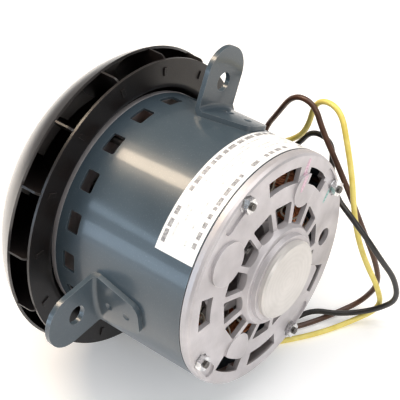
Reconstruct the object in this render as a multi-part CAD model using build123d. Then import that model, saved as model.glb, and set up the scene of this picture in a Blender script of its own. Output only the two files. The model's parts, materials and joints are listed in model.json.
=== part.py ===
from build123d import *
import os
from math import cos, pi, radians, sin, tan

# Combustion fan: an open frame induction motor on three welded lugs, with a bladed
# wheel on its shaft.  Millimetres.  +X runs along the shaft from the wheel towards
# the motor's rear, +Z is up.  The origin is the centre of the lug bolt circle, on
# the lugs' front faces.  Angles are measured about +X, from +Y towards +Z.

# ---- motor frame ----
SHELL_R = 71.0
SHELL_WALL = 1.5
SHELL_FRONT_X = -30.0
SHELL_REAR_X = 60.8
BORE_R = SHELL_R - SHELL_WALL

VENT_COUNT = 18
VENT_X = (-24.2, -15.5)
VENT_WIDTH = 12.2
VENT_FIRST_ANGLE = 75.0

LUG_COUNT = 3
LUG_FIRST_ANGLE = 65.0
LUG_BOLT_CIRCLE = 177.8
LUG_HOLE_R = 5.75
LUG_THICKNESS = 3.0
LUG_HALF_WIDTH = 16.5
LUG_END_CENTRE_R = 93.5
LUG_FOOT_LENGTH = 34.5
LUG_FOOT_END_HALF_WIDTH = 9.5
LUG_BEND_R = 2.5

# ---- end shields, held together by four long bolts ----
BOLT_COUNT = 4
BOLT_FIRST_ANGLE = 21.0
BOLT_CIRCLE_R = 65.2
BOLT_R = 2.1
NUT_ACROSS_FLATS = 8.2
NUT_SEAT_X = 65.9
NUT_SEAT_R = 4.95
NUT_WASHER_R = 4.7
POCKET_R = (60.8, 68.4)
POCKET_ANGLE = 14.0
BOLT_END_X = 71.9

REAR_FACE_X = 67.2
SHIELD_RIM_R = SHELL_R + 0.1
SHIELD_WALL = 3.0
SPIGOT_R = (68.2, BORE_R)
SPIGOT_LENGTH = 5.0
FLAT_RIM_R = 62.5
RIM_GROOVE = 0.8
HUB_BOSS_R = 29.5
REAR_WINDOWS = ((66, 94), (33, 56), (220, 243), (252.5, 277.5), (162, 180.5), (313.5, 330.5))
REAR_WINDOW_R = (53.5, 62.8)
REAR_WINDOW_FLARE = (1.2, 3.4)
RIB_COUNT = 14
RIB_FIRST_ANGLE = 66.0
RIB_WIDTH = 3.2
RIB_WINDOW_R = (30.4, 42.8)
PADS = ((56, 49.5, 10.0), (141.5, 51.0, 13.0), (230, 47.5, 10.0), (320, 47.5, 10.0))
PAD_HEIGHT = 1.8
SIDE_HOLE = (351, 53.8, 5.7)
HUB_FACE_X = 76.7
CAP_R = 23.5
CAP_FACE_X = 80.2

# ---- ball bearings, one in each shield ----
BEARING_OUTER_R = 20.0
BEARING_INNER_R = 8.5
BALL_R = 3.35
BALL_CIRCLE_R = 14.25
BALL_COUNT = 8
BALL_CLEARANCE = 0.06
FRONT_BEARING_X = (-44.0, -32.0)
REAR_BEARING_X = (62.0, 74.0)

# ---- stator and rotor ----
CORE_X = (0.0, 40.0)
STATOR_BORE_R = 36.2
ROTOR_R = 35.7
SLOT_COUNT = 24
SLOT_R = (39.5, 56.0)
SLOT_WIDTH = 5.0
LINER = 0.4
TURNS_R = (41.0, 60.0)
FRONT_TURNS_X = (-23.5, -0.6)
REAR_TURNS_X = (40.6, 55.0)
BAR_COUNT = 28
BAR_R = 1.8
BAR_CIRCLE_R = 32.5
END_RING_R = (22.0, 34.8)
END_RING_WIDTH = 7.0

# ---- shaft and wheel ----
SHAFT_R = 8.5
SHAFT_CORE_R = 10.0
SHAFT_NOSE_R = 6.35
SHAFT_FRONT_X = -77.5
SHAFT_REAR_X = 75.0
WHEEL_HUB_R = 12.5
HUB_FLANGE_R = 22.0
HUB_FRONT_X = -76.0
HUB_FLANGE = 3.0
SET_SCREW_X = -71.2
SET_SCREW_R = 3.0
RIVET_COUNT = 6
RIVET_CIRCLE_R = 17.5
RIVET_R = 1.6

SHEET = 1.5
RING_X = -28.7
RING_R = 92.4
RING_INNER_R = 75.5
WEB_X = -62.0
WEB_R = 62.0
SHROUD_RIM_X = -42.6
SHROUD_RIM_R = 95.2
EYE_R = 44.0
EYE_LIP_X = -77.5
EYE_LIP = 3.0
DOME_POINT = (-59.8, 83.2)
DOME_END = (-71.5, 66.5)
BLADE_COUNT = 15
BLADE_FIRST_ANGLE = 50.3
BLADE_SHEET = 1.2
BLADE_INNER_R = 60.0
BLADE_SWEEP = 12.0
BLADE_CORNER_R = 4.0
TAB_R = (82.5, 87.5)
TAB_HEAD = 0.8
TAB_HEAD_WIDTH = 2.6

# ---- leads ----
GROMMET_X = -8.5
GROMMET_FACE_Y = 75.0
GROMMET_R = 5.8
GROMMET_FLANGE_R = 8.2
GROMMET_FLANGE = 3.4
GROMMET_LENGTH = 6.5
LEAD_R = 1.8
LEAD_SPREAD = 2.4
LEAD_SIDE = 2.1
LEAD_DROP = 1.2
FLOOR_Z = -SHROUD_RIM_R
LIE_Z = FLOOR_Z + LEAD_R
CROSS_Z = LIE_Z + 4.8
ARC_SHARE = 0.45

# Each lead's route from the grommet to its terminal: arched up beside the shell, down
# past the rear shield to the floor and back under the motor.
ROUTES = {
    "brown": [
        (GROMMET_X, GROMMET_FACE_Y, LEAD_SPREAD), (GROMMET_X, 90, LEAD_SPREAD), (-9, 98, 15), (2, 93, 31),
        (17, 88, 54), (33, 87, 54), (40, 87, 38), (51, 88, 19), (62, 89, -1), (73, 91, -25), (82, 95, -48),
        (83, 101, -70), (73, 99, -89), (65, 86, LIE_Z), (58, 68, LIE_Z), (50, 53, LIE_Z), (38, 41, LIE_Z),
        (24, 33, LIE_Z), (8, 23, LIE_Z)],
    "yellow": [
        (GROMMET_X - LEAD_SIDE, GROMMET_FACE_Y, -LEAD_DROP), (GROMMET_X - LEAD_SIDE, 90, -LEAD_DROP),
        (-3, 99, 5), (11, 97, 13), (24, 95, 27), (30, 93, 54), (50, 89, 57), (60, 84, 37),
        (66, 83, 16), (69, 83, -5), (74, 83, -25), (80, 86, -44), (88, 90, -62), (88, 99, -86),
        (75, 80, LIE_Z), (67, 62, LIE_Z), (57, 46, LIE_Z), (45, 30, LIE_Z), (33, 15, LIE_Z), (22, 3, LIE_Z)],
    "black": [
        (GROMMET_X + LEAD_SIDE, GROMMET_FACE_Y, -LEAD_DROP), (GROMMET_X + LEAD_SIDE, 90, -LEAD_DROP),
        (2, 99, 0), (14, 100, 9), (25, 99, 26), (42, 97, 25), (46, 91, 9), (57, 81, 0), (70, 76, -4),
        (84, 77, -17), (93, 82, -33), (99, 90, -49), (101, 94, -68), (90, 93, -81), (78, 86, -87),
        (67, 78, CROSS_Z), (53, 71, CROSS_Z), (45, 58, LIE_Z), (34, 46, LIE_Z), (20, 38, LIE_Z)],
}
TERMINAL_LENGTH = 19.0
TERMINAL_WIDTH = 7.6
TERMINAL_HEIGHT = 4.0

FACE_UP = (Align.CENTER, Align.CENTER, Align.MAX)


# ---- helpers ----
def tube(outer_r, inner_r, x0, x1):
    """A ring or disc about the shaft axis, from x0 to x1."""
    disc = Rot(0, 90, 0) * Cylinder(outer_r, x1 - x0)
    if inner_r > 0:
        disc -= Rot(0, 90, 0) * Cylinder(inner_r, x1 - x0 + 2)
    return Pos((x0 + x1) / 2, 0, 0) * disc


def rod(radius, x0, x1, centre_r, angle):
    """A round bar parallel to the shaft at a radius and an angle."""
    return Rot(angle, 0, 0) * Pos(0, centre_r, 0) * tube(radius, 0, x0, x1)


def turned(points):
    """A solid of revolution about the shaft axis from (x, radius) corners."""
    return revolve(make_face(Polyline(*points, close=True)), Axis.X)


def sector(x0, x1, r0, r1, angle0, angle1):
    """The part of a ring between two angles."""
    section = make_face(Polyline((x0, r0), (x1, r0), (x1, r1), (x0, r1), close=True))
    return Rot(angle0, 0, 0) * revolve(section, Axis.X, revolution_arc=angle1 - angle0)


def along_x(sketch, x0, x1):
    """A prism along the shaft axis from a sketch whose x and y stand for Y and Z."""
    return Pos(x0, 0, 0) * extrude(Plane.YZ * sketch, x1 - x0)


def spread(shape, count, first=0.0):
    """Copies of a shape evenly spaced about the shaft axis."""
    return [Rot(first + i * 360 / count, 0, 0) * shape for i in range(count)]


def cut_all(shape, tools):
    for tool in tools:
        shape = shape - tool
    return shape


def save(name, *shapes):
    solids = [solid for shape in shapes for solid in shape.solids()]
    body = solids[0] if len(solids) == 1 else Compound(children=solids)
    body.label = name
    export_step(body, f"parts/{name}.step")


# ---- motor frame ----
def motor_shell():
    shell = tube(SHELL_R, BORE_R, SHELL_FRONT_X, SHELL_REAR_X)
    length = VENT_X[1] - VENT_X[0]
    vent = Pos(sum(VENT_X) / 2, SHELL_R, 0) * Box(length, 12, VENT_WIDTH)
    vent = fillet(vent.edges().filter_by(Axis.Y), 1.2)
    shell = cut_all(shell, spread(vent, VENT_COUNT, VENT_FIRST_ANGLE))
    lead_hole = Pos(GROMMET_X, SHELL_R, 0) * Rot(90, 0, 0) * Cylinder(GROMMET_R, 12)
    return shell - lead_hole


def mounting_lug():
    """A strip bent into an L: a foot welded along the shell and a round ended tab."""
    tab_r = LUG_END_CENTRE_R + LUG_HALF_WIDTH
    foot_r = SHELL_R + LUG_THICKNESS
    section = make_face(Polyline(
        (0, SHELL_R), (LUG_FOOT_LENGTH, SHELL_R), (LUG_FOOT_LENGTH, foot_r),
        (LUG_THICKNESS, foot_r), (LUG_THICKNESS, tab_r + 1), (0, tab_r + 1), close=True))
    inner = section.vertices().filter_by_position(Axis.X, LUG_THICKNESS - 0.1, LUG_THICKNESS + 0.1)
    section = fillet(inner.filter_by_position(Axis.Y, foot_r - 0.1, foot_r + 0.1), LUG_BEND_R)
    outer = section.vertices().filter_by_position(Axis.X, -0.1, 0.1)
    section = fillet(outer.filter_by_position(Axis.Y, SHELL_R - 0.1, SHELL_R + 0.1), LUG_BEND_R + 1.5)
    blank = Rot(-25, 0, 0) * revolve(section, Axis.X, revolution_arc=50)

    tab_depth = LUG_THICKNESS + LUG_BEND_R
    tab = Pos(LUG_END_CENTRE_R, 0) * Circle(LUG_HALF_WIDTH)
    tab += Pos(LUG_END_CENTRE_R - 20, 0) * Rectangle(40, 2 * LUG_HALF_WIDTH)
    keep = along_x(tab, -1, tab_depth)
    foot = make_face(Polyline(
        (tab_depth, -LUG_HALF_WIDTH), (LUG_FOOT_LENGTH, -LUG_FOOT_END_HALF_WIDTH),
        (LUG_FOOT_LENGTH, LUG_FOOT_END_HALF_WIDTH), (tab_depth, LUG_HALF_WIDTH), close=True))
    foot = fillet(foot.vertices().group_by(Axis.X)[-1], 7.0)
    keep += Pos(0, 60, 0) * extrude(Plane.XZ * foot, -20)
    lug = blank & keep

    lug -= rod(LUG_HOLE_R, -1, LUG_THICKNESS + 1, LUG_BOLT_CIRCLE / 2, 0)
    for x in (13.0, 25.5):
        lug -= Pos(x, foot_r + 3.2, 0) * Sphere(4.0)
    return lug.solids()[0]


def rear_profile():
    """The rear shield's wall: a flat rim, a shallow cone and a stepped hub boss."""
    rim, boss = SHIELD_RIM_R, HUB_BOSS_R
    face, back = REAR_FACE_X, SHELL_REAR_X
    spigot_x = back - SPIGOT_LENGTH
    groove_r = rim - RIM_GROOVE
    outside = [
        (back, groove_r), (back + RIM_GROOVE, groove_r), (back + RIM_GROOVE, rim), (face - 2.6, rim),
        (face - 0.8, rim - 0.6), (face, rim - 1.9), (face, FLAT_RIM_R), (face + 0.6, 50.0),
        (face + 1.1, 44.0), (face + 3.1, 31.0), (HUB_FACE_X - 3.2, boss), (HUB_FACE_X - 2.8, boss - 0.4),
        (HUB_FACE_X - 2.8, 26.5), (HUB_FACE_X, 26.0)]
    inside = [
        (HUB_FACE_X, BEARING_OUTER_R), (REAR_BEARING_X[0], BEARING_OUTER_R), (REAR_BEARING_X[0], 23.5),
        (face + 0.2, 26.5), (face + 3.1 - SHIELD_WALL, 31.0), (face + 1.1 - SHIELD_WALL, 44.0),
        (face + 0.6 - SHIELD_WALL, 50.0), (face - SHIELD_WALL, FLAT_RIM_R - 0.5), (back, FLAT_RIM_R - 0.5)]
    spigot = [(back, SPIGOT_R[0]), (spigot_x, SPIGOT_R[0]), (spigot_x, SPIGOT_R[1]), (back, SPIGOT_R[1])]
    return outside + inside + spigot


def rear_window(angle0, angle1):
    """An outer window, flared outwards behind a short lip at the face."""
    r0, r1 = REAR_WINDOW_R
    lip, flare = REAR_WINDOW_FLARE
    back, front = SHELL_REAR_X - 1, REAR_FACE_X + 9
    section = make_face(Polyline(
        (back, r0), (front, r0), (front, r1), (REAR_FACE_X - lip, r1), (back, r1 + flare), close=True))
    return Rot(angle0, 0, 0) * revolve(section, Axis.X, revolution_arc=angle1 - angle0)


def rib_window():
    """A window between two of the thin ribs round the hub."""
    inner_r, outer_r = RIB_WINDOW_R
    inner_half = pi * inner_r / RIB_COUNT - RIB_WIDTH / 2
    outer_half = pi * outer_r / RIB_COUNT - RIB_WIDTH / 2
    window = make_face(Polyline(
        (inner_r, -inner_half), (outer_r, -outer_half), (outer_r, outer_half), (inner_r, inner_half),
        close=True))
    return along_x(fillet(window.vertices(), 1.2), REAR_FACE_X - 6, REAR_FACE_X + 12)


def nut_pocket(angle):
    """What a through bolt takes out of the rear rim: its hole, the nut's seat and an oblong pocket."""
    r0, r1 = POCKET_R
    top = REAR_FACE_X + 6
    end_r = (r1 - r0) / 2
    return [
        rod(BOLT_R + 0.2, SHELL_REAR_X - 1, REAR_FACE_X + 1, BOLT_CIRCLE_R, angle),
        rod(NUT_SEAT_R, NUT_SEAT_X, top, BOLT_CIRCLE_R, angle),
        sector(NUT_SEAT_X, top, r0, r1, angle, angle + POCKET_ANGLE),
        rod(end_r, NUT_SEAT_X, top, r0 + end_r, angle + POCKET_ANGLE)]


def rear_end_shield():
    shield = turned(rear_profile())
    half_pitch = 180 / RIB_COUNT
    shield = cut_all(shield, spread(rib_window(), RIB_COUNT, RIB_FIRST_ANGLE + half_pitch))
    for angle, centre_r, pad_r in PADS:
        shield += rod(pad_r, REAR_FACE_X, REAR_FACE_X + PAD_HEIGHT, centre_r, angle)
    shield = cut_all(shield, [rear_window(*angles) for angles in REAR_WINDOWS])
    angle, centre_r, hole_r = SIDE_HOLE
    shield -= rod(hole_r, REAR_FACE_X - 6, REAR_FACE_X + 9, centre_r, angle)
    for i in range(BOLT_COUNT):
        shield = cut_all(shield, nut_pocket(BOLT_FIRST_ANGLE + 90 * i))
    return shield


def rear_bearing_cap():
    """A pressed cup that closes the rear bearing's bore."""
    floor_x = HUB_FACE_X
    cap = turned([
        (floor_x, 0), (CAP_FACE_X, 0), (CAP_FACE_X, CAP_R - 1.2), (CAP_FACE_X - 1.2, CAP_R),
        (floor_x, CAP_R)])
    return cap - tube(BEARING_OUTER_R - 2.5, 0, floor_x - 1, CAP_FACE_X - 1.2)


def front_end_shield():
    x = SHELL_FRONT_X
    nose = FRONT_BEARING_X[0] - 1.6
    shield = turned([
        (x, SHIELD_RIM_R), (x - 3.0, SHIELD_RIM_R), (x - 3.0, 58.0), (x - 9.0, 30.0), (nose, 26.0),
        (nose, 15.0), (FRONT_BEARING_X[0], 15.0), (FRONT_BEARING_X[0], BEARING_OUTER_R),
        (FRONT_BEARING_X[1], BEARING_OUTER_R), (FRONT_BEARING_X[1], 25.0), (x - 5.4, 30.0),
        (x, 56.0), (x, SPIGOT_R[0]), (x + 4.5, SPIGOT_R[0]), (x + 4.5, SPIGOT_R[1]), (x, SPIGOT_R[1])])
    window = sector(x - 14, x + 2, 35.0, 52.0, -14, 14)
    shield = cut_all(shield, spread(window, 8, BOLT_FIRST_ANGLE + 22.5))
    for i in range(BOLT_COUNT):
        angle = BOLT_FIRST_ANGLE + 90 * i
        shield -= rod(BOLT_R + 0.2, x - 4, x + 6, BOLT_CIRCLE_R, angle)
    return shield


def through_bolt(angle):
    head = rod(4.0, SHELL_FRONT_X - 5.8, SHELL_FRONT_X - 3.0, BOLT_CIRCLE_R, angle)
    return head + rod(BOLT_R, SHELL_FRONT_X - 3.0, BOLT_END_X, BOLT_CIRCLE_R, angle)


def bolt_nut(angle):
    """A hexagon nut on a thin washer flange."""
    hexagon = RegularPolygon(NUT_ACROSS_FLATS / 2, 6, major_radius=False)
    nut = along_x(Pos(BOLT_CIRCLE_R, 0) * hexagon, NUT_SEAT_X + 0.9, NUT_SEAT_X + 4.6)
    nut += rod(NUT_WASHER_R, NUT_SEAT_X, NUT_SEAT_X + 0.9, BOLT_CIRCLE_R, 0)
    nut -= rod(BOLT_R, NUT_SEAT_X - 1, NUT_SEAT_X + 6, BOLT_CIRCLE_R, 0)
    return Rot(angle, 0, 0) * nut


def rating_label():
    return sector(35.4, SHELL_REAR_X - 0.3, SHELL_R, SHELL_R + 0.15, 52, 147)


# ---- stator ----
def slot_shape(margin):
    r0, r1 = SLOT_R
    slot = Rectangle(r1 - r0 - 2 * margin, SLOT_WIDTH - 2 * margin)
    return Pos((r0 + r1) / 2, 0) * fillet(slot.vertices(), 1.2)


def stator_core():
    core = tube(BORE_R, STATOR_BORE_R, *CORE_X)
    mouth = Pos((SLOT_R[0] + STATOR_BORE_R) / 2, 0) * Rectangle(SLOT_R[0] - STATOR_BORE_R + 2, 2.2)
    cutter = along_x(slot_shape(0) + mouth, CORE_X[0] - 1, CORE_X[1] + 1)
    core = cut_all(core, spread(cutter, SLOT_COUNT))
    notch = rod(BOLT_R + 1.4, CORE_X[0] - 1, CORE_X[1] + 1, BOLT_CIRCLE_R + 1.1, 0)
    return cut_all(core, spread(notch, BOLT_COUNT, BOLT_FIRST_ANGLE))


def slot_liner():
    liner = along_x(slot_shape(0) - slot_shape(LINER), CORE_X[0] - 0.5, CORE_X[1] + 0.5)
    return liner - along_x(Pos(SLOT_R[0], 0) * Rectangle(3.0, 2.2), CORE_X[0] - 1, CORE_X[1] + 1)


def end_turns(x0, x1):
    """The bundled coil ends outside the core, as a ring with rounded corners."""
    r0, r1 = TURNS_R
    section = Pos((x0 + x1) / 2, (r0 + r1) / 2) * Rectangle(x1 - x0, r1 - r0)
    return revolve(fillet(section.vertices(), 5.5), Axis.X)


def thermal_protector():
    """A flat sealed switch tied on the inside of the front coil ends."""
    block = Pos(-12, TURNS_R[0] - 3.0, 0) * Box(16, 5, 9)
    return Rot(200, 0, 0) * fillet(block.edges().filter_by(Axis.X), 1.5)


# ---- bearings ----
def race(x_span, r0, r1):
    """One bearing ring, with its ball groove."""
    ring = tube(r1, r0, *x_span)
    mid = sum(x_span) / 2
    return ring - revolve(Pos(mid, BALL_CIRCLE_R) * Circle(BALL_R + BALL_CLEARANCE), Axis.X)


def ball_set(x_span):
    mid = sum(x_span) / 2
    return spread(Pos(mid, BALL_CIRCLE_R, 0) * Sphere(BALL_R), BALL_COUNT)


def ball_cage(x_span):
    mid = sum(x_span) / 2
    cage = tube(BALL_CIRCLE_R + 1.0, BALL_CIRCLE_R - 1.0, mid - 4.4, mid + 4.4)
    return cut_all(cage, spread(Pos(mid, BALL_CIRCLE_R, 0) * Sphere(BALL_R + 0.03), BALL_COUNT))


def wave_washer():
    return tube(BEARING_OUTER_R - 0.6, 15.5, REAR_BEARING_X[1] + 0.1, REAR_BEARING_X[1] + 0.9)


# ---- rotor ----
def motor_shaft():
    return turned([
        (SHAFT_FRONT_X, 0), (SHAFT_FRONT_X, SHAFT_NOSE_R - 0.8), (SHAFT_FRONT_X + 0.8, SHAFT_NOSE_R),
        (-46.0, SHAFT_NOSE_R), (-46.0, SHAFT_R), (-31.9, SHAFT_R), (-31.9, SHAFT_CORE_R),
        (61.9, SHAFT_CORE_R), (61.9, SHAFT_R), (SHAFT_REAR_X, SHAFT_R), (SHAFT_REAR_X, 0)])


def rotor_core():
    core = tube(ROTOR_R, SHAFT_CORE_R, *CORE_X)
    return cut_all(core, spread(rod(BAR_R, CORE_X[0] - 1, CORE_X[1] + 1, BAR_CIRCLE_R, 0), BAR_COUNT))


def rotor_cage():
    """Cast end rings with stub vanes, joined by bars through the core."""
    r0, r1 = END_RING_R
    cage = tube(r1, r0, CORE_X[0] - END_RING_WIDTH, CORE_X[0])
    cage += tube(r1, r0, CORE_X[1], CORE_X[1] + END_RING_WIDTH)
    for bar in spread(rod(BAR_R, *CORE_X, BAR_CIRCLE_R, 0), BAR_COUNT):
        cage += bar
    for x in (CORE_X[0] - END_RING_WIDTH - 2.5, CORE_X[1] + END_RING_WIDTH + 2.5):
        for vane in spread(Pos(x, (r0 + r1) / 2, 0) * Box(5.2, 9, 2), 8):
            cage += vane
    return cage


def retaining_ring(x):
    ring = tube(SHAFT_CORE_R + 2.2, SHAFT_CORE_R, x, x + 1.2)
    return ring - Pos(x, SHAFT_CORE_R + 2, 0) * Box(4, 5, 4)


# ---- wheel ----
def dome_line():
    return ThreePointArc((SHROUD_RIM_X, SHROUD_RIM_R - SHEET * 0.4), DOME_POINT, DOME_END)


def shroud_line():
    """The front shroud's mid line: a dome that turns in to the inlet's short lip."""
    dome = dome_line()
    lip_r = EYE_R + SHEET / 2
    bell = TangentArc(dome @ 1, (EYE_LIP_X + EYE_LIP, lip_r), tangent=dome % 1)
    return dome + bell + Line(bell @ 1, (EYE_LIP_X, lip_r))


def back_line():
    """The back plate's mid line: a flat ring, a cup wall round the motor's front and a web."""
    ring_x = RING_X - SHEET / 2
    web_x = WEB_X - SHEET / 2
    corners = [(ring_x, RING_R), (ring_x, RING_INNER_R), (web_x, WEB_R), (web_x, SHAFT_NOSE_R + 3)]
    return FilletPolyline(*corners, radius=3.0)


def shroud_section():
    return trace(shroud_line(), SHEET)


def back_section():
    return trace(back_line(), SHEET)


def blade_section():
    """What a blade fills, seen along the shaft's side: all between shroud and back plate."""
    x_ring = RING_X - SHEET / 2
    dome = dome_line()
    outline = dome + Polyline(
        dome @ 1, (DOME_END[0], BLADE_INNER_R), (WEB_X, BLADE_INNER_R), (WEB_X, WEB_R),
        (x_ring, RING_INNER_R), (x_ring, SHROUD_RIM_R - 0.9), dome @ 0)
    face = make_face(outline)
    corner = face.vertices().filter_by_position(Axis.Y, 94, 96).sort_by(Axis.X)[-1]
    face = fillet(corner, BLADE_CORNER_R)
    face = face - shroud_section() - back_section()
    return max(face.faces(), key=lambda piece: piece.area)


def blade_sheet(thickness):
    """A curved sheet parallel to the shaft: radial at its tip, swept back at its root."""
    tip = (SHROUD_RIM_R + 1, 0)
    root_r = BLADE_INNER_R - 1
    root = (root_r * cos(radians(BLADE_SWEEP)), -root_r * sin(radians(BLADE_SWEEP)))
    camber = TangentArc(tip, root, tangent=(-1, 0))
    return along_x(trace(camber, thickness), EYE_LIP_X, RING_X + 3)


def wheel_blade():
    blade = blade_sheet(BLADE_SHEET) & revolve(blade_section(), Axis.X)
    blade = max(blade.solids(), key=lambda piece: piece.volume)
    tab_inner_r, tab_outer_r = TAB_R
    blade += blade_sheet(BLADE_SHEET) & tube(tab_outer_r, tab_inner_r, RING_X - SHEET - 0.1, RING_X)
    blade += blade_sheet(TAB_HEAD_WIDTH) & tube(tab_outer_r, tab_inner_r, RING_X, RING_X + TAB_HEAD)
    return blade


def wheel_shroud():
    return revolve(shroud_section(), Axis.X)


def wheel_back_plate():
    plate = revolve(back_section(), Axis.X) - tube(SHAFT_NOSE_R + 4, 0, WEB_X - 4, WEB_X + 4)
    slot = blade_sheet(BLADE_SHEET) & tube(TAB_R[1], TAB_R[0], RING_X - SHEET - 1, RING_X + 1)
    plate = cut_all(plate, spread(slot, BLADE_COUNT, BLADE_FIRST_ANGLE))
    rivet_hole = rod(RIVET_R, WEB_X - 4, WEB_X + 4, RIVET_CIRCLE_R, 0)
    return cut_all(plate, spread(rivet_hole, RIVET_COUNT))


def wheel_hub():
    front = WEB_X - SHEET
    hub = tube(WHEEL_HUB_R, SHAFT_NOSE_R, HUB_FRONT_X, front)
    hub += tube(HUB_FLANGE_R, SHAFT_NOSE_R, front - HUB_FLANGE, front)
    hub += tube(SHAFT_NOSE_R + 4, SHAFT_NOSE_R, front, WEB_X + 0.8)
    hub = cut_all(hub, spread(rod(RIVET_R, front - 4, front + 1, RIVET_CIRCLE_R, 0), RIVET_COUNT))
    screw_hole = Pos(SET_SCREW_X, 0, SHAFT_NOSE_R + 4) * Cylinder(SET_SCREW_R, 8)
    return hub - screw_hole


def hub_set_screw():
    top = WHEEL_HUB_R + 0.4
    screw = Pos(SET_SCREW_X, 0, (SHAFT_NOSE_R + top) / 2) * Cylinder(SET_SCREW_R, top - SHAFT_NOSE_R)
    socket = extrude(RegularPolygon(1.5, 6), 3)
    return screw - Pos(SET_SCREW_X, 0, top - 2.5) * socket


def hub_rivet(angle):
    front = WEB_X - SHEET - HUB_FLANGE
    shank = rod(RIVET_R, front - 1.2, WEB_X + 1.2, RIVET_CIRCLE_R, angle)
    head = rod(3.0, front - 1.2, front, RIVET_CIRCLE_R, angle)
    return shank + head + rod(3.0, WEB_X, WEB_X + 1.2, RIVET_CIRCLE_R, angle)


# ---- leads ----
def lead_grommet():
    """A rubber bush in the shell's lead hole, with a flange outside; the leads leave its face."""
    bush = Cylinder(GROMMET_R, GROMMET_LENGTH, align=FACE_UP)
    bush += Cylinder(GROMMET_FLANGE_R, GROMMET_FLANGE, align=FACE_UP)
    return Pos(GROMMET_X, GROMMET_FACE_Y, 0) * Rot(-90, 0, 0) * bush


def lead(colour):
    """One lead: a round wire along straight runs joined by tangent arcs."""
    points = [Vector(*p) for p in ROUTES[colour]]
    radii = []
    for before, here, after in zip(points, points[1:], points[2:]):
        turn = (here - before).get_angle(after - here)
        shorter = min((here - before).length, (after - here).length)
        radii.append(ARC_SHARE * shorter / tan(radians(turn) / 2))
    path = FilletPolyline(*points, radius=radii)
    section = Plane(origin=path @ 0, z_dir=path % 0) * Circle(LEAD_R)
    wire = sweep(section, path=path)
    expected = pi * LEAD_R ** 2 * path.length
    print(colour, "length %.1f" % path.length, "volume/expected %.4f" % (wire.volume / expected),
          "least radius %.1f" % min(radii), "radii", [round(r, 1) for r in radii])
    return wire


def terminal(colour):
    """A flat push-on connector in its sleeve at the lead's far end."""
    before, end = [Vector(*p) for p in ROUTES[colour][-2:]]
    heading = Plane(origin=end, x_dir=(end - before).normalized(), z_dir=(0, 0, 1))
    sleeve = Pos(4.5, 0, 0) * (Rot(0, 90, 0) * Cylinder(LEAD_R, 9.0))
    tongue = Pos(8 + (TERMINAL_LENGTH - 8) / 2, 0, 0.2)
    shoe = tongue * Box(TERMINAL_LENGTH - 8, TERMINAL_WIDTH, TERMINAL_HEIGHT)
    shoe = fillet(shoe.edges().filter_by(Axis.Z), 1.5)
    return heading * (sleeve + shoe)


def main():
    os.makedirs("parts", exist_ok=True)
    bolt_angles = [BOLT_FIRST_ANGLE + 90 * i for i in range(BOLT_COUNT)]

    save("motor_shell", motor_shell())
    lug = mounting_lug()
    for i in range(LUG_COUNT):
        save(f"mounting_lug_{i + 1}", Rot(LUG_FIRST_ANGLE + 120 * i, 0, 0) * lug)
    save("rear_end_shield", rear_end_shield())
    save("rear_bearing_cap", rear_bearing_cap())
    save("front_end_shield", front_end_shield())
    save("through_bolts", *[through_bolt(angle) for angle in bolt_angles])
    save("bolt_nuts", *[bolt_nut(angle) for angle in bolt_angles])
    save("rating_label", rating_label())

    save("stator_core", stator_core())
    save("slot_liners", *spread(slot_liner(), SLOT_COUNT))
    coil_leg = along_x(slot_shape(LINER + 0.05), *CORE_X)
    save("coil_legs", *spread(coil_leg, SLOT_COUNT))
    save("front_coil_ends", end_turns(*FRONT_TURNS_X))
    save("rear_coil_ends", end_turns(*REAR_TURNS_X))
    save("thermal_protector", thermal_protector())

    bearings = (FRONT_BEARING_X, REAR_BEARING_X)
    save("bearing_outer_races", *[race(span, 17.0, BEARING_OUTER_R) for span in bearings])
    save("bearing_inner_races", *[race(span, BEARING_INNER_R, 11.5) for span in bearings])
    save("front_bearing_balls", *ball_set(FRONT_BEARING_X))
    save("rear_bearing_balls", *ball_set(REAR_BEARING_X))
    save("bearing_cages", *[ball_cage(span) for span in bearings])
    save("wave_washer", wave_washer())

    save("motor_shaft", motor_shaft())
    save("rotor_core", rotor_core())
    save("rotor_cage", rotor_cage())
    save("retaining_rings", retaining_ring(-12.0), retaining_ring(53.0))
    save("wheel_hub", wheel_hub())
    save("hub_set_screw", hub_set_screw())
    save("hub_rivets", *[hub_rivet(360 / RIVET_COUNT * i) for i in range(RIVET_COUNT)])
    save("wheel_back_plate", wheel_back_plate())
    save("wheel_shroud", wheel_shroud())
    for i, blade in enumerate(spread(wheel_blade(), BLADE_COUNT, BLADE_FIRST_ANGLE)):
        save(f"wheel_blade_{i + 1:02d}", blade)

    save("lead_grommet", lead_grommet())
    for colour in ROUTES:
        save(f"lead_{colour}", lead(colour))
        save(f"terminal_{colour}", terminal(colour))


main()
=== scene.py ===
import json
import math
import random

import bpy
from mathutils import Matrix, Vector
from mathutils.bvhtree import BVHTree


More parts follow.
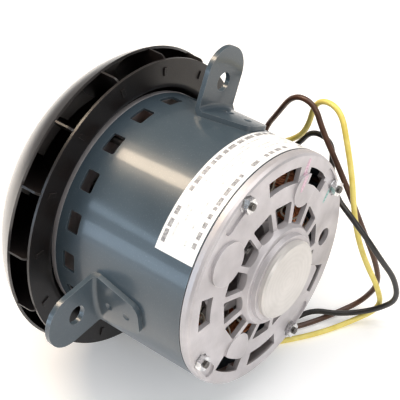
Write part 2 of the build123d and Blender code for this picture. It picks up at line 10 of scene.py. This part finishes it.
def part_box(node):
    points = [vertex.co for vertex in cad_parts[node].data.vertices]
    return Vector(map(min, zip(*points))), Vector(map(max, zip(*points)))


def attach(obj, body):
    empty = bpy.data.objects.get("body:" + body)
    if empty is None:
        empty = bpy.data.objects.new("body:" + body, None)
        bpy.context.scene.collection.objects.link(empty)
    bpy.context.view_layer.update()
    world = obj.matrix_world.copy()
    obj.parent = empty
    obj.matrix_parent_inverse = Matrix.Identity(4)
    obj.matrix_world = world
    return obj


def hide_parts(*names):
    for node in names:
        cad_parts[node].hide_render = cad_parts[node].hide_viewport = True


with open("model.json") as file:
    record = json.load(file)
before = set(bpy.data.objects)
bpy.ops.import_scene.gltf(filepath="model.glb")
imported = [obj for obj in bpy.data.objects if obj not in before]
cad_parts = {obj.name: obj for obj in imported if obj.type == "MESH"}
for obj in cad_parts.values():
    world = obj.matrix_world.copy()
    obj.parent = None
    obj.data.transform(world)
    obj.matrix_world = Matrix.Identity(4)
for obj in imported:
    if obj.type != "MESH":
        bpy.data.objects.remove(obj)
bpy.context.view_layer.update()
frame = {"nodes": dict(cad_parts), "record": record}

# Combustion fan: an open frame motor with a bladed wheel.  Metres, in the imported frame:
# +X runs along the shaft from the wheel to the motor's rear, +Z is up.  Angles are in
# degrees about +X, from +Y towards +Z.

MM = 0.001
random.seed(7)

SHELL_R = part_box("motor_shell")[1][2]
FLOOR_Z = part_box("wheel_shroud")[0][2]       # the wheel's rim stands on the floor
FLOOR_HALF = 4.0


# ---- camera, floor and light ----
VIEW_AZIMUTH = math.radians(39.48)
VIEW_ELEVATION = math.radians(37.27)
VIEW_DISTANCE = 0.66
VIEW_TARGET = Vector((0.0040, 0.0154, 0.0103))
LENS = 100.69
SENSOR_WIDTH = 36.0


def direction(azimuth, elevation):
    """From the object towards a viewer; azimuth 0 is on the -Y side."""
    flat = math.cos(elevation)
    return Vector((flat * math.sin(azimuth), -flat * math.cos(azimuth), math.sin(elevation)))


def add_object(name, data, place=(0, 0, 0)):
    made = bpy.data.objects.new(name, data)
    made.location = place
    bpy.context.scene.collection.objects.link(made)
    return made


def add_camera():
    lens = bpy.data.cameras.new("camera")
    lens.lens = LENS
    lens.sensor_width = SENSOR_WIDTH
    camera = add_object("camera", lens)
    towards = direction(VIEW_AZIMUTH, VIEW_ELEVATION)
    camera.location = VIEW_TARGET + VIEW_DISTANCE * towards
    camera.rotation_euler = (-towards).to_track_quat("-Z", "Y").to_euler()
    bpy.context.scene.camera = camera


def add_softbox(name, azimuth, elevation, distance, size, power, colour):
    """A rectangular light that faces the origin, from angles in degrees."""
    light = bpy.data.lights.new(name, "AREA")
    light.shape = "RECTANGLE"
    light.size, light.size_y = size
    light.energy = power
    light.color = colour
    towards = direction(math.radians(azimuth), math.radians(elevation))
    box = add_object(name, light, distance * towards)
    box.rotation_euler = (-towards).to_track_quat("-Z", "Y").to_euler()


def add_studio():
    add_softbox("top_light", 140, 78, 1.6, (1.6, 1.6), 20.0, (1.0, 0.99, 0.98))
    add_softbox("warm_strip", -73.4, 57.3, 1.15, (0.21, 0.6), 8.5, (1.0, 0.82, 0.62))
    add_softbox("cool_strip", -37, 21, 1.1, (0.6, 0.11), 1.1, (0.62, 0.80, 1.0))
    add_softbox("cool_window", -32, 4, 1.1, (0.6, 0.20), 1.9, (0.62, 0.80, 1.0))
    add_softbox("rear_light", 75, 30, 1.3, (0.5, 0.5), 4.0, (1.0, 0.97, 0.96))
    add_world()
    add_floor()
    bpy.context.scene.view_settings.view_transform = "Standard"


def add_world():
    world = bpy.data.worlds.new("studio")
    world.use_nodes = True
    background = world.node_tree.nodes["Background"]
    background.inputs["Color"].default_value = (1.0, 0.98, 0.965, 1.0)
    background.inputs["Strength"].default_value = 0.30
    bpy.context.scene.world = world


def add_floor():
    """A wide sheet of white paper that glows a little, so that shadows on it stay pale."""
    sheet = bpy.data.meshes.new("floor")
    half = FLOOR_HALF
    corners = [(-half, -half, 0), (half, -half, 0), (half, half, 0), (-half, half, 0)]
    sheet.from_pydata(corners, [], [(0, 1, 2, 3)])
    floor = add_object("floor", sheet, (0, 0, FLOOR_Z))
    paper = Finish("floor_paper", 0.8)
    paper.colour(paper.noise_ramp(3.0, [(0.3, (0.90, 0.895, 0.89)), (0.7, (0.93, 0.925, 0.92))]))
    paper.shader.inputs["Emission Color"].default_value = (1.0, 1.0, 1.0, 1.0)
    paper.shader.inputs["Emission Strength"].default_value = 0.25
    sheet.materials.append(paper.material)


# ---- materials ----
class Finish:
    """A procedural material on object coordinates, which are the frame's metres."""

    def __init__(self, name, roughness, **shader_values):
        self.material = bpy.data.materials.new(name)
        self.material.use_nodes = True
        self.tree = self.material.node_tree
        self.shader = self.tree.nodes["Principled BSDF"]
        self.shader.inputs["Roughness"].default_value = roughness
        for key, value in shader_values.items():
            self.shader.inputs[key.replace("_", " ").title().replace("Ior", "IOR")].default_value = value
        self.place = self.add("TexCoord").outputs["Object"]

    def add(self, kind, sockets=(), **settings):
        made = self.tree.nodes.new("ShaderNode" + kind)
        for key, value in settings.items():
            setattr(made, key, value)
        for key, value in dict(sockets).items():
            if isinstance(value, bpy.types.NodeSocket):
                self.tree.links.new(value, made.inputs[key])
            else:
                made.inputs[key].default_value = value
        return made

    def math(self, operation, *values):
        return self.add("Math", enumerate(values), operation=operation).outputs[0]

    def noise(self, scale, detail=3.0):
        """Noise with features of about 1/scale metres."""
        made = self.add("TexNoise", {"Vector": self.place, "Scale": scale, "Detail": detail})
        return made.outputs["Fac"]

    def rings(self, scale, distortion):
        """Turned rings about the shaft axis, scale of them to a metre of radius."""
        made = self.add("TexWave", {"Vector": self.place, "Scale": scale / 20, "Distortion": distortion},
                        wave_type="RINGS", rings_direction="X")
        return made.outputs["Fac"]

    def ramp(self, factor, stops):
        made = self.add("ValToRGB", {"Fac": factor})
        points = made.color_ramp.elements
        while len(points) < len(stops):
            points.new(0.5)
        for point, (position, rgb) in zip(points, stops):
            point.position = position
            point.color = (*rgb, 1.0)
        return made.outputs["Color"]

    def noise_ramp(self, scale, stops, detail=3.0):
        return self.ramp(self.noise(scale, detail), stops)

    def blend(self, factor, first, second):
        made = self.add("Mix", data_type="RGBA")
        self.tree.links.new(factor, made.inputs[0])
        for socket, value in ((made.inputs[6], first), (made.inputs[7], second)):
            if isinstance(value, bpy.types.NodeSocket):
                self.tree.links.new(value, socket)
            else:
                socket.default_value = (*value, 1.0)
        return made.outputs[2]

    def edges(self, width):
        """1 within about width of a sharp edge and 0 elsewhere."""
        sharp, flush = 0.80, 0.985      # cosines between the rounded and the true normal
        bevel = self.add("Bevel", {"Radius": width}, samples=4)
        flat = self.add("NewGeometry").outputs["Normal"]
        dot = self.add("VectorMath", {0: bevel.outputs[0], 1: flat}, operation="DOT_PRODUCT")
        span = self.add("MapRange", {"Value": dot.outputs["Value"], "From Min": flush, "From Max": sharp})
        return span.outputs[0]

    def colour(self, value):
        self.tree.links.new(value, self.shader.inputs["Base Color"])

    def rough(self, factor, low, high):
        span = self.add("MapRange", {"Value": factor, "To Min": low, "To Max": high})
        self.tree.links.new(span.outputs[0], self.shader.inputs["Roughness"])

    def bump(self, height, strength, distance):
        made = self.add("Bump", {"Height": height, "Strength": strength, "Distance": distance})
        self.tree.links.new(made.outputs[0], self.shader.inputs["Normal"])


def enamel(name, deep, light, dust_and_edge_highlight_colour, edge_thinning_and_highlight, roughness, orange_peel, **shader_values):
    """Glossy paint on sheet steel, a little uneven, flecked with dust, thin along its edges and brighter
    there with a painted highlight.
    """
    paint = Finish(name, roughness, **shader_values)
    body = paint.noise_ramp(28.0, [(0.3, deep), (0.72, light)], detail=5.0)
    dust = paint.noise_ramp(1500.0, [(0.62, (0, 0, 0)), (0.74, (1, 1, 1))], detail=1.0)
    body = paint.blend(paint.math("MULTIPLY", dust, 0.10), body, dust_and_edge_highlight_colour)
    # along the edges: partly paint worn thin, partly a painted highlight where a rounded edge would catch the
    # light
    patchy_edge_thinning_and_highlight = paint.math("MULTIPLY", paint.edges(0.5 * MM), paint.noise(420.0))
    body = paint.blend(paint.math("MULTIPLY", patchy_edge_thinning_and_highlight, edge_thinning_and_highlight), body, dust_and_edge_highlight_colour)
    paint.colour(body)
    paint.rough(paint.noise(60.0, 4.0), roughness - 0.05, roughness + 0.09)
    paint.bump(paint.noise(650.0, 2.0), orange_peel, 0.05 * MM)
    return paint.material


def cast_metal(name, dark, light, roughness, grain, **shader_values):
    """Satin cast aluminium: fine grain, soft blotches, high edges polished and brightened with a painted
    highlight.
    """
    metal = Finish(name, roughness, **shader_values)
    blotch = metal.noise_ramp(55.0, [(0.28, dark), (0.70, light)], detail=6.0)
    pits = metal.noise_ramp(1900.0, [(0.30, (1, 1, 1)), (0.42, (0, 0, 0))], detail=1.0)
    body = metal.blend(metal.math("MULTIPLY", pits, 0.25), blotch, dark)
    # edges blended towards near white: some real polish, mostly a painted highlight where a rounded edge
    # would catch the light
    body = metal.blend(metal.math("MULTIPLY", metal.edges(0.6 * MM), 0.5), body, (0.92, 0.91, 0.90))
    metal.colour(body)
    metal.rough(metal.noise(240.0, 5.0), roughness - 0.08, roughness + 0.10)
    metal.bump(metal.noise(1300.0, 3.0), grain, 0.08 * MM)
    return metal.material


def turned_metal(name, dark, light, roughness, pitch, marks, **shader_values):
    """Metal turned or rolled about the shaft axis, with fine rings, light smears and a painted highlight
    along its edges.
    """
    metal = Finish(name, roughness, **shader_values)
    tone = metal.math("MULTIPLY_ADD", metal.rings(1 / pitch, 1.5), 0.12, metal.noise(70.0, 4.0))
    body = metal.ramp(tone, [(0.30, dark), (0.80, light)])
    # painted highlight: edges lightened towards the light tone, where a rounded edge would catch the light
    body = metal.blend(metal.math("MULTIPLY", metal.edges(0.3 * MM), 0.5), body, light)
    metal.colour(body)
    metal.rough(metal.noise(300.0, 4.0), roughness - 0.06, roughness + 0.10)
    metal.bump(metal.rings(1 / pitch, 0.6), marks, 0.03 * MM)
    return metal.material


def small_hardware(name, dark, light, roughness):
    """Plated or darker steel on nuts and bolts, slightly smeared, brighter on its edges with a painted
    highlight.
    """
    metal = Finish(name, roughness, metallic=1.0)
    body = metal.noise_ramp(380.0, [(0.30, dark), (0.65, light)], detail=4.0)
    # painted highlight: edges lightened towards pale steel, where a rounded edge would catch the light
    body = metal.blend(metal.math("MULTIPLY", metal.edges(0.25 * MM), 0.6), body, (0.95, 0.94, 0.92))
    metal.colour(body)
    metal.rough(metal.noise(600.0, 3.0), roughness - 0.08, roughness + 0.12)
    metal.bump(metal.noise(900.0, 1.0), 0.04, 0.03 * MM)
    return metal.material


def stacked_sheets(name):
    """The cut edges of half millimetre core sheets, varnished."""
    core = Finish(name, 0.45, metallic=0.75)
    wave = core.add("TexWave", {"Vector": core.place, "Scale": 100.0, "Distortion": 0.3},
                    bands_direction="X", wave_type="BANDS").outputs["Fac"]
    sheets = core.ramp(wave, [(0.15, (0.05, 0.04, 0.035)), (0.5, (0.23, 0.21, 0.20))])
    varnish = core.noise_ramp(90.0, [(0.55, (0, 0, 0)), (0.75, (1, 1, 1))], detail=4.0)
    core.colour(core.blend(core.math("MULTIPLY", varnish, 0.5), sheets, (0.12, 0.055, 0.02)))
    core.rough(core.noise(200.0), 0.38, 0.6)
    core.bump(wave, 0.5, 0.08 * MM)
    return core.material


def wire_enamel(name):
    """Varnished copper, deeper where the varnish has run."""
    wire = Finish(name, 0.3, metallic=0.85, coat_weight=0.4, coat_roughness=0.2)
    copper = wire.noise_ramp(240.0, [(0.32, (0.30, 0.09, 0.03)), (0.68, (0.72, 0.30, 0.13))], detail=4.0)
    varnish = wire.noise_ramp(60.0, [(0.50, (0, 0, 0)), (0.75, (1, 1, 1))])
    wire.colour(wire.blend(wire.math("MULTIPLY", varnish, 0.5), copper, (0.16, 0.05, 0.02)))
    wire.rough(wire.noise(500.0), 0.22, 0.45)
    wire.bump(wire.noise(2200.0), 0.2, 0.03 * MM)
    return wire.material


def plastic(name, dark, light, roughness, **shader_values):
    """Moulded or extruded plastic or rubber with handling smears."""
    skin = Finish(name, roughness, **shader_values)
    body = skin.noise_ramp(160.0, [(0.3, dark), (0.7, light)], detail=4.0)
    scuffs = skin.noise_ramp(1100.0, [(0.66, (0, 0, 0)), (0.78, (1, 1, 1))], detail=2.0)
    pale = tuple(0.6 * part + 0.35 for part in light)
    skin.colour(skin.blend(skin.math("MULTIPLY", scuffs, 0.12), body, pale))
    skin.rough(skin.noise(420.0, 4.0), roughness - 0.07, roughness + 0.12)
    skin.bump(skin.noise(2000.0, 2.0), 0.12, 0.05 * MM)
    return skin.material


def paper_stock(name):
    """Coated white label paper, faintly mottled."""
    paper = Finish(name, 0.42, coat_weight=0.2)
    body = paper.noise_ramp(120.0, [(0.3, (0.92, 0.925, 0.92)), (0.7, (0.97, 0.97, 0.96))], detail=5.0)
    paper.colour(body)
    paper.rough(paper.noise(300.0), 0.36, 0.55)
    paper.bump(paper.noise(2600.0, 3.0), 0.2, 0.02 * MM)
    return paper.material


def ink(name, dark, light):
    """Thin smudged print or marker with breaks in it."""
    print_ink = Finish(name, 0.5)
    print_ink.colour(print_ink.noise_ramp(900.0, [(0.35, dark), (0.62, light)], detail=4.0))
    print_ink.rough(print_ink.noise(700.0), 0.4, 0.62)
    return print_ink.material


def make_materials():
    steel_dark, steel_light = (0.36, 0.35, 0.34), (0.72, 0.71, 0.69)
    return {
        "frame_paint": enamel("blue_grey_enamel", (0.043, 0.063, 0.080), (0.056, 0.080, 0.099),
                              (0.36, 0.39, 0.41), 0.6, 0.30, 0.06, coat_weight=0.35, coat_roughness=0.10),
        "wheel_enamel": enamel("black_brown_enamel", (0.006, 0.0048, 0.0046), (0.012, 0.009, 0.0085),
                               (0.22, 0.19, 0.18), 0.5, 0.34, 0.06, coat_weight=0.15, coat_roughness=0.2,
                               specular_ior_level=0.35),
        "cast_aluminium": cast_metal("cast_aluminium", (0.42, 0.40, 0.41), (0.60, 0.575, 0.59), 0.42, 0.10,
                                     metallic=0.4),
        "plated_cap": turned_metal("satin_cap", (0.57, 0.55, 0.525), (0.68, 0.655, 0.63), 0.38, 0.5 * MM,
                                   0.03, metallic=0.35),
        "zinc_steel": small_hardware("zinc_plate", (0.45, 0.45, 0.46), (0.80, 0.80, 0.80), 0.26),
        "label": paper_stock("label_paper"),
        "lamination": stacked_sheets("core_sheets"),
        "insulation": plastic("slot_paper", (0.55, 0.50, 0.40), (0.72, 0.68, 0.58), 0.6),
        "copper_wire": wire_enamel("varnished_copper"),
        "bearing_steel": turned_metal("bearing_steel", steel_dark, steel_light, 0.2, 0.5 * MM, 0.15,
                                      metallic=1.0),
        "cage_polymer": plastic("cage_polymer", (0.30, 0.22, 0.12), (0.42, 0.32, 0.18), 0.4),
        "shaft_steel": turned_metal("shaft_steel", steel_dark, steel_light, 0.28, 0.4 * MM, 0.3,
                                    metallic=1.0),
        "black_rubber": plastic("black_rubber", (0.010, 0.010, 0.010), (0.022, 0.021, 0.020), 0.6),
        "lead_brown": plastic("brown_lead", (0.060, 0.024, 0.013), (0.105, 0.045, 0.024), 0.38,
                              coat_weight=0.15),
        "lead_yellow": plastic("yellow_lead", (0.80, 0.64, 0.12), (0.92, 0.78, 0.22), 0.38, coat_weight=0.15),
        "lead_black": plastic("black_lead", (0.008, 0.007, 0.007), (0.020, 0.017, 0.015), 0.36,
                              coat_weight=0.15),
        "terminal_sleeve": plastic("nylon_sleeve", (0.55, 0.50, 0.44), (0.72, 0.68, 0.60), 0.35,
                                   subsurface_weight=0.2),
    }


def dress_cad(materials):
    """Gives every CAD node the finish that the record names for it, and two nodes their own."""
    own = {
        # the through bolts get a much darker steel than the other hardware
        "through_bolts": small_hardware("dark_bolt_steel", (0.05, 0.045, 0.04), (0.16, 0.15, 0.14), 0.4),
        "wheel_shroud": enamel("glossy_dome_enamel", (0.008, 0.006, 0.0055), (0.018, 0.013, 0.012),
                               (0.22, 0.19, 0.18), 0.4, 0.30, 0.06, coat_weight=1.0, coat_roughness=0.16),
    }
    for row in frame["record"]["subparts"]:
        node = row["node"]
        for slot in frame["nodes"][node].material_slots:
            slot.material = own.get(node, materials[row["material_slot"]])


# ---- leads ----
def mm_points(*points):
    """Route points given in millimetres."""
    return [Vector(point) * MM for point in points]


LEAD_R = 1.8 * MM
LIE_Z = -93.4                   # millimetres: a lead's middle where it lies on the floor
CROSS_Z = LIE_Z + 4.8           # and where it lies over another lead
ROUTES = {
    "brown": mm_points(
        (-8.5, 75, 2.4), (-8.5, 90, 2.4), (-9, 98, 15), (2, 93, 31), (17, 88, 54), (33, 87, 54), (40, 87, 38),
        (51, 88, 19), (62, 89, -1), (73, 91, -25), (82, 95, -48), (83, 101, -70), (73, 99, -89),
        (65, 86, LIE_Z), (58, 68, LIE_Z), (50, 53, LIE_Z), (38, 41, LIE_Z), (24, 33, LIE_Z), (8, 23, LIE_Z)),
    "yellow": mm_points(
        (-10.6, 75, -1.2), (-10.6, 90, -1.2), (-3, 99, 5), (11, 97, 13), (24, 95, 27), (30, 93, 54),
        (50, 89, 57), (60, 84, 37), (66, 83, 16), (69, 83, -5), (74, 83, -25), (80, 86, -44), (88, 90, -62),
        (88, 99, -86), (75, 80, LIE_Z), (67, 62, LIE_Z), (57, 46, LIE_Z), (45, 30, LIE_Z), (33, 15, LIE_Z),
        (22, 3, LIE_Z)),
    "black": mm_points(
        (-6.4, 75, -1.2), (-6.4, 90, -1.2), (2, 99, 0), (14, 100, 9), (25, 99, 26), (42, 97, 25), (46, 91, 9),
        (57, 81, 0), (70, 76, -4), (84, 77, -17), (93, 82, -33), (99, 90, -49), (101, 94, -68), (90, 93, -81),
        (78, 86, -87), (67, 78, CROSS_Z), (53, 71, CROSS_Z), (45, 58, LIE_Z), (34, 46, LIE_Z),
        (20, 38, LIE_Z)),
}


def add_leads(materials):
    for colour, route in ROUTES.items():
        curve = bpy.data.curves.new(f"{colour}_lead_line", "CURVE")
        curve.dimensions = "3D"
        spline = curve.splines.new("NURBS")
        spline.points.add(len(route) - 1)
        for point, place in zip(spline.points, route):
            point.co = (*place, 1.0)
        spline.order_u = 3
        spline.use_endpoint_u = True
        spline.resolution_u = 10
        curve.bevel_depth = LEAD_R
        curve.bevel_resolution = 5
        curve.materials.append(materials[f"lead_{colour}"])
        lead = add_object(f"{colour}_lead_wire", curve)
        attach(lead, "motor_frame")
        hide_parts(f"lead_{colour}")


# ---- mesh helpers ----
def around(x, radius, angle):
    """A point about the shaft axis, from x, radius and an angle in degrees."""
    turn = math.radians(angle)
    return Vector((x, radius * math.cos(turn), radius * math.sin(turn)))


def add_mesh(name, vertices, faces, material, smooth=True):
    """A mesh piece that rides on the motor."""
    mesh = bpy.data.meshes.new(name)
    mesh.from_pydata(vertices, [], faces)
    mesh.materials.append(material)
    mesh.polygons.foreach_set("use_smooth", [smooth] * len(mesh.polygons))
    mesh.validate()
    made = add_object(name, mesh)
    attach(made, "motor_frame")
    return made


def sweep_wire(vertices, faces, path, radius, sides, closed=False):
    """Adds a round wire along a path to a vertex and a face list."""
    first = len(vertices)
    count = len(path)
    across = None
    for i, point in enumerate(path):
        before = path[i - 1] if i or closed else path[0]
        after = path[(i + 1) % count] if i < count - 1 or closed else path[-1]
        along = (after - before).normalized()
        if across is None:
            across = along.orthogonal().normalized()
        across = (across - across.dot(along) * along).normalized()
        up = along.cross(across)
        for j in range(sides):
            turn = 2 * math.pi * j / sides
            vertices.append(point + radius * (math.cos(turn) * across + math.sin(turn) * up))
    for i in range(count if closed else count - 1):
        here, there = first + i * sides, first + (i + 1) % count * sides
        for j in range(sides):
            k = (j + 1) % sides
            faces.append((here + j, here + k, there + k, there + j))
    if not closed:
        faces.append(tuple(first + j for j in reversed(range(sides))))
        faces.append(tuple(first + (count - 1) * sides + j for j in range(sides)))


# ---- coil ends ----
SLOT_COUNT = 24
SLOT_PITCH = 360 / SLOT_COUNT
COIL_SPAN = 5 * SLOT_PITCH
WIRE_R = 0.55 * MM
LACING_R = 0.6 * MM
# each wire of a coil: millimetres out from the coil's middle, and steps round and along the shaft
WIRES = [(0.0, 0.0), (1.4, 0.2), (-1.3, 0.5), (0.5, 2.0), (-0.6, -2.1), (1.2, -2.4), (-1.5, 2.6), (0.4, 3.9),
         (-0.3, -4.0), (1.9, 1.7)]


def coil_wire(face_x, tip_x, layers, start, across, along):
    """One wire of a coil: out of a slot, over five slots and back into another.

    layers are the radii in millimetres at which it leaves and returns.
    """
    path = []
    steps = 26
    rise = tip_x - face_x
    height = 0.78 + 0.10 * random.random()      # its share of the coil end's full depth
    for i in range(steps + 1):
        t = i / steps
        level = math.sin(math.pi * t) ** 0.55 * height
        x = face_x + rise * level - math.copysign(along, rise) * MM * 0.6 * math.sin(math.pi * t)
        layer = layers[0] + (layers[1] - layers[0]) * t
        wobble = 0.35 * math.sin(9 * t + start)
        sway = COIL_SPAN * (t - 0.035 * math.sin(4 * math.pi * t))
        path.append(around(x, (layer + across + wobble) * MM, start + sway + along * 0.5))
    return path


def add_coil_ends(name, node, face_x, tip_x, layers, material):
    """All coils at one end of the stator, from the core's face to the coil tips."""
    vertices, faces = [], []
    for i in range(SLOT_COUNT):
        for across, along in WIRES:
            path = coil_wire(face_x, tip_x, layers, i * SLOT_PITCH, across, along)
            sweep_wire(vertices, faces, path, WIRE_R, 6)
    coils = add_mesh(name, vertices, faces, material)
    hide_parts(node)


def add_lacing(name, x0, x1, material):
    """Cord looped round the coil ends once for each slot."""
    vertices, faces = [], []
    mid_x, half_x = (x0 + x1) / 2, (x1 - x0) / 2
    mid_r, half_r = 50.5 * MM, 8.8 * MM
    squareness = 0.6
    lean = 2.5
    steps = 20
    for i in range(SLOT_COUNT):
        loop = []
        for j in range(steps):
            turn = 2 * math.pi * j / steps
            x = mid_x + half_x * math.copysign(abs(math.cos(turn)) ** squareness, math.cos(turn))
            radius = mid_r + half_r * math.copysign(abs(math.sin(turn)) ** squareness, math.sin(turn))
            loop.append(around(x, radius, (i + 0.5) * SLOT_PITCH + lean * math.sin(turn)))
        sweep_wire(vertices, faces, loop, LACING_R, 6, closed=True)
    add_mesh(name, vertices, faces, material)


# ---- label ----
LABEL_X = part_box("rating_label")[0][0]
PRINT_ANGLES = (57.0, 139.0)
PRINT_R = SHELL_R + 0.18 * MM           # just clear of the label paper


def curved_patch(vertices, faces, x0, x1, angle0, angle1):
    """A patch of the printed face, with about one quad for each degree round the axis."""
    first = len(vertices)
    steps = max(1, round(angle1 - angle0))
    for i in range(steps + 1):
        angle = angle0 + (angle1 - angle0) * i / steps
        vertices += [around(x0, PRINT_R, angle), around(x1, PRINT_R, angle)]
    for i in range(steps):
        at = first + 2 * i
        faces.append((at, at + 1, at + 3, at + 2))


def add_label_print():
    """Generic grey bars in rows round the shell: no lettering of any kind."""
    inks = {"dark": ink("label_grey", (0.20, 0.20, 0.21), (0.48, 0.47, 0.47)),
            "pale": ink("label_pale_grey", (0.55, 0.55, 0.55), (0.80, 0.80, 0.79))}
    # millimetres from the label's front edge, bar height, widest bar in degrees, chance of a bar, ink
    rows = ((1.6, 2.6, 6.0, 0.9, "dark"), (6.6, 1.2, 7.0, 0.5, "pale"), (9.4, 1.2, 5.0, 0.4, "pale"),
            (12.4, 1.0, 7.0, 0.5, "pale"), (15.6, 1.2, 4.0, 0.4, "pale"), (20.4, 2.4, 4.5, 0.8, "dark"))
    meshes = {"dark": ([], []), "pale": ([], [])}
    for start, height, widest, chance, tone in rows:
        x0 = LABEL_X + start * MM
        angle = PRINT_ANGLES[0]
        while angle < PRINT_ANGLES[1]:
            width = random.uniform(0.35, 1.0) * widest
            if random.random() < chance:
                curved_patch(*meshes[tone], x0, x0 + height * MM, angle, angle + width)
            angle += width + random.uniform(0.8, 2.0)
    for tone, (vertices, faces) in meshes.items():
        add_mesh(f"label_bars_{tone}", vertices, faces, inks[tone], smooth=False)


# ---- marker stripes on the rear shield ----
# name, start radius in millimetres and angle, end radius and angle, width, two ink tones
STRIPES = (
    ("pink_stripe", (48.3, 60.8), (67.6, 60.1), 3.4, (0.55, 0.33, 0.42), (0.76, 0.58, 0.66)),
    ("teal_stripe", (52.8, 21.6), (61.2, 24.0), 2.2, (0.12, 0.34, 0.33), (0.42, 0.66, 0.60)),
)
STRIPE_LIFT = Vector((0.06 * MM, 0, 0))
BEHIND_SHIELD_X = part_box("rear_end_shield")[1][0] + 5 * MM


def stripe_point(shield, start, end, width, t, side):
    """A point on the shield's rear faces, t of the way along a stripe and side of the way across."""
    radius = (start[0] + (end[0] - start[0]) * t) * MM
    angle = start[1] + (end[1] - start[1]) * t
    taper = 1 - 0.35 * math.cos(math.pi * t) ** 8
    offset = (side - 0.5) * width * MM * taper
    behind = around(BEHIND_SHIELD_X, radius, angle + math.degrees(offset / radius))
    return shield.ray_cast(behind, Vector((-1, 0, 0)))[0] + STRIPE_LIFT


def add_stripes():
    """Marker stripes laid on the shield's faces, following its steps."""
    mesh = frame["nodes"]["rear_end_shield"].data
    shield = BVHTree.FromPolygons([v.co for v in mesh.vertices], [tuple(p.vertices) for p in mesh.polygons])
    rows, columns = 40, 6
    for name, start, end, width, dark, light in STRIPES:
        vertices, faces = [], []
        for i in range(rows + 1):
            for j in range(columns + 1):
                vertices.append(stripe_point(shield, start, end, width, i / rows, j / columns))
        for i in range(rows):
            for j in range(columns):
                at = i * (columns + 1) + j
                faces.append((at, at + 1, at + columns + 2, at + columns + 1))
        add_mesh(name, vertices, faces, ink(name, dark, light))


add_camera()
materials = make_materials()
add_leads(materials)
add_studio()
dress_cad(materials)
copper = materials["copper_wire"]
cord = materials["insulation"]
add_coil_ends("front_windings", "front_coil_ends", -0.6 * MM, -27.5 * MM, (60.0, 49.0), copper)
add_coil_ends("rear_windings", "rear_coil_ends", 40.6 * MM, 55.4 * MM, (57.5, 46.0), copper)
add_lacing("front_lacing", -24.0 * MM, -3.0 * MM, cord)
add_lacing("rear_lacing", 42.0 * MM, 54.2 * MM, cord)
add_label_print()
add_stripes()
